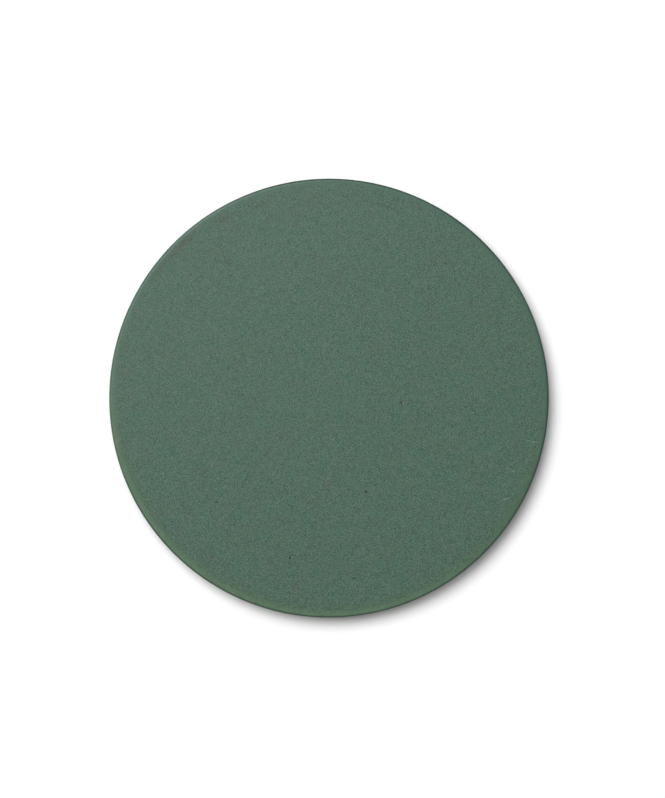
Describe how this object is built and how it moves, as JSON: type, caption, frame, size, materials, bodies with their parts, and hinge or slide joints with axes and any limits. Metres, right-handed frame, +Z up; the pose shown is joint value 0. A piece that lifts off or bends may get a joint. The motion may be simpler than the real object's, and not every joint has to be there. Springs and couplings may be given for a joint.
{
  "type": "flat stoneware plate",
  "caption": "Flat round stoneware plate with a mottled satin green glaze, a softly rounded edge and a low foot ring on felt pads, to stand flowers, foam or candles on.",
  "frame": {"origin": "on the table, under the middle of the plate", "axes": "+Z up, out of the plate's flat top; the plate is round, so +X and +Y are any two square directions, with the pads halfway between them"},
  "size_m": [0.22, 0.22, 0.01],
  "materials": {
    "glaze": "satin",
    "clay": "matte",
    "felt": "matte",
    "adhesive": "satin"
  },
  "bodies": {
    "root": {"stoneware_body": "clay", "glaze_coat": "glaze", "underside_glaze": "glaze", "felt_pad_1": "felt", "felt_pad_2": "felt", "felt_pad_3": "felt", "felt_pad_4": "felt", "pad_adhesive_1": "adhesive", "pad_adhesive_2": "adhesive", "pad_adhesive_3": "adhesive", "pad_adhesive_4": "adhesive"}
  },
  "joints": []
}
